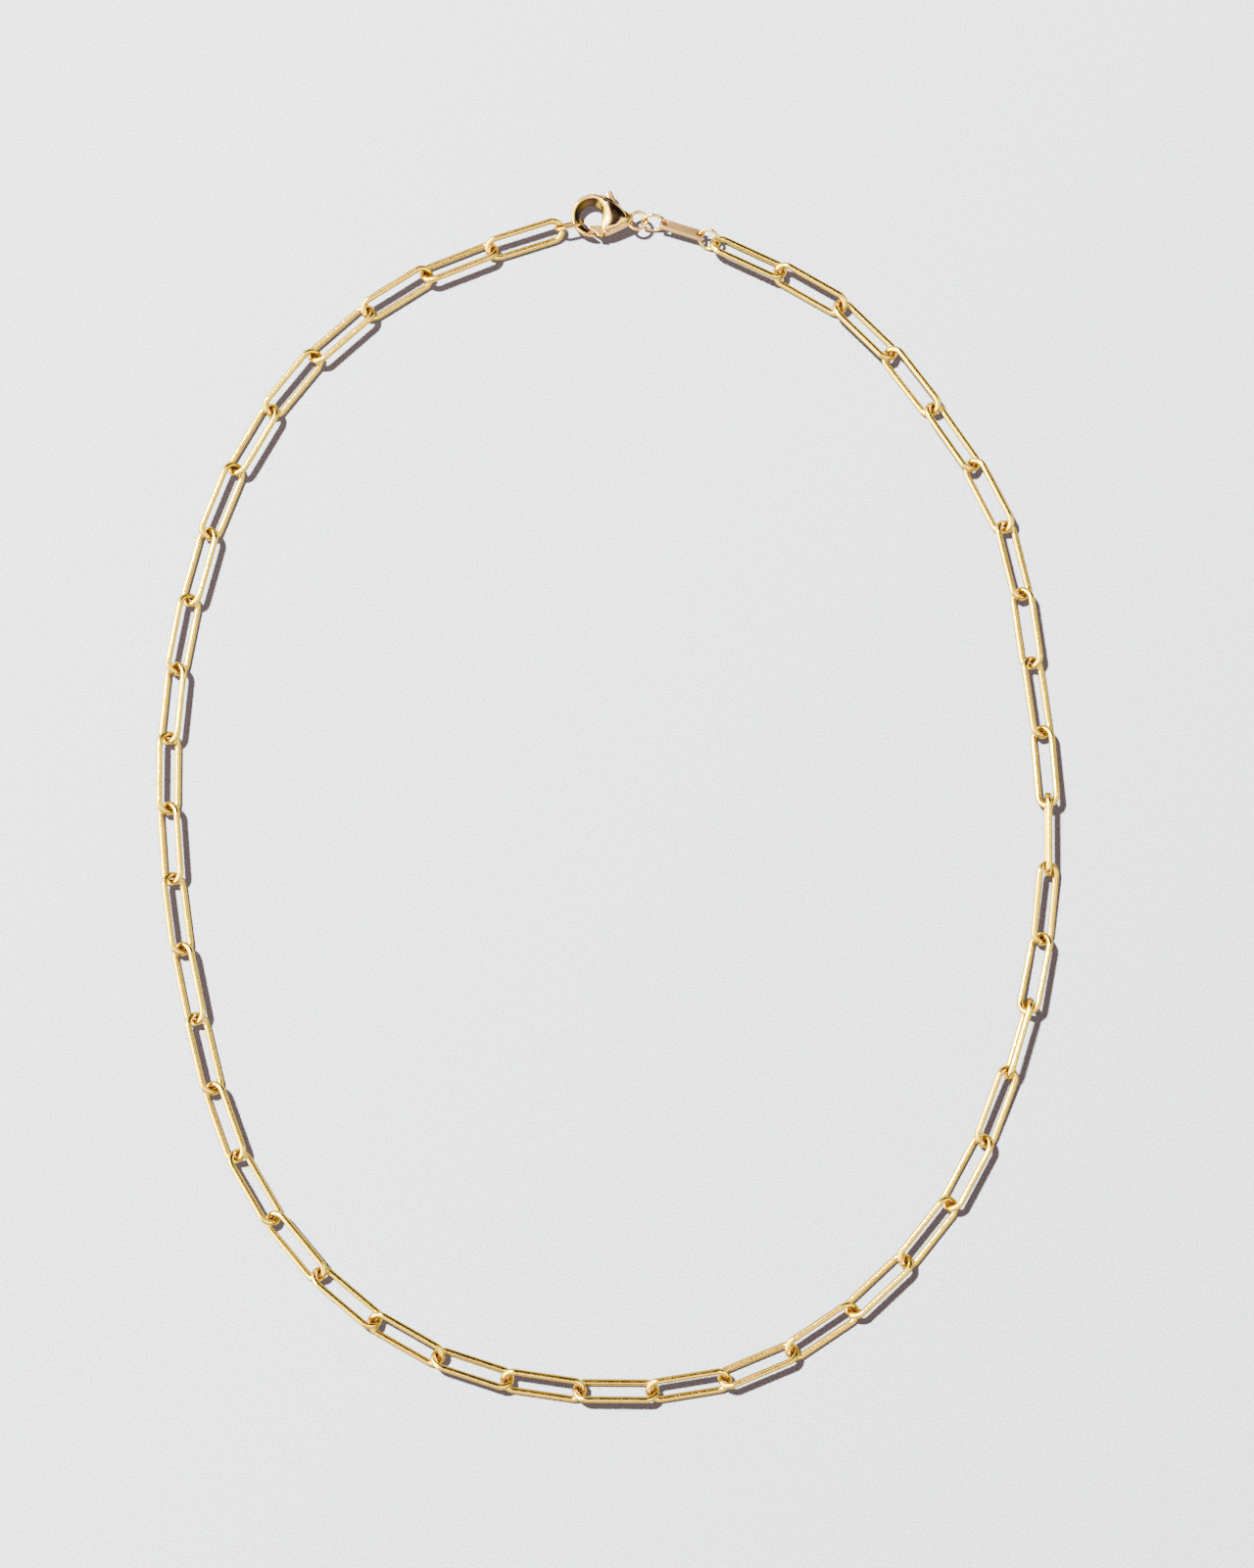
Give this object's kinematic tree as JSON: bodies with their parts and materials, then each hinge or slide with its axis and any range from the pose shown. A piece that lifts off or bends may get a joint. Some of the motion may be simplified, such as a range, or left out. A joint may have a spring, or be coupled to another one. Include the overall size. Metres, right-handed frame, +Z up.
{
  "type": "oval link chain necklace with a lobster clasp",
  "caption": "Closed paperclip chain of long oval gold links, with a lobster clasp, two small rings and an oblong tag, laid flat in an egg-shaped loop.",
  "frame": {"origin": "on the surface that the necklace lies on, under the middle of its bounding box", "axes": "+Z up from that surface, +Y along the loop's length towards the clasp, which the wearer has at the nape, and +X to the right as it lies"},
  "size_m": [0.1252, 0.1709, 0.0038],
  "materials": {
    "yellow_gold": "polished 14 carat yellow gold wire",
    "rose_gold": "polished rose gold, brushed on the tag"
  },
  "bodies": {
    "chain": {"link_01": "yellow_gold", "link_02": "yellow_gold", "link_03": "yellow_gold", "link_04": "yellow_gold", "link_05": "yellow_gold", "link_06": "yellow_gold", "link_07": "yellow_gold", "link_08": "yellow_gold", "link_09": "yellow_gold", "link_10": "yellow_gold", "link_11": "yellow_gold", "link_12": "yellow_gold", "link_13": "yellow_gold", "link_14": "yellow_gold", "link_15": "yellow_gold", "link_16": "yellow_gold", "link_17": "yellow_gold", "link_18": "yellow_gold", "link_19": "yellow_gold", "link_20": "yellow_gold", "link_21": "yellow_gold", "link_22": "yellow_gold", "link_23": "yellow_gold", "link_24": "yellow_gold", "link_25": "yellow_gold", "link_26": "yellow_gold", "link_27": "yellow_gold", "link_28": "yellow_gold", "link_29": "yellow_gold", "link_30": "yellow_gold", "link_31": "yellow_gold", "link_32": "yellow_gold", "link_33": "yellow_gold", "link_34": "yellow_gold", "link_35": "yellow_gold", "link_36": "yellow_gold", "link_37": "yellow_gold", "link_38": "yellow_gold", "link_39": "yellow_gold", "link_40": "yellow_gold", "link_41": "yellow_gold", "link_42": "yellow_gold", "link_43": "yellow_gold", "link_44": "yellow_gold", "end_ring": "yellow_gold", "tag": "rose_gold", "clasp_ring": "rose_gold", "clasp_body": "rose_gold", "connector_ring": "rose_gold"},
    "lever": {"clasp_lever": "rose_gold"}
  },
  "joints": [
    {"name": "lever_hinge", "type": "hinge", "parent": "chain", "child": "lever", "pos_m": [0.00075, 0.08217, 0.00175], "axis": [0.0777, -0.0109, -0.9969], "range_deg": [0, 24], "stiffness_Nm_per_rad": 0.0005, "springref_deg": -20.05}
  ]
}
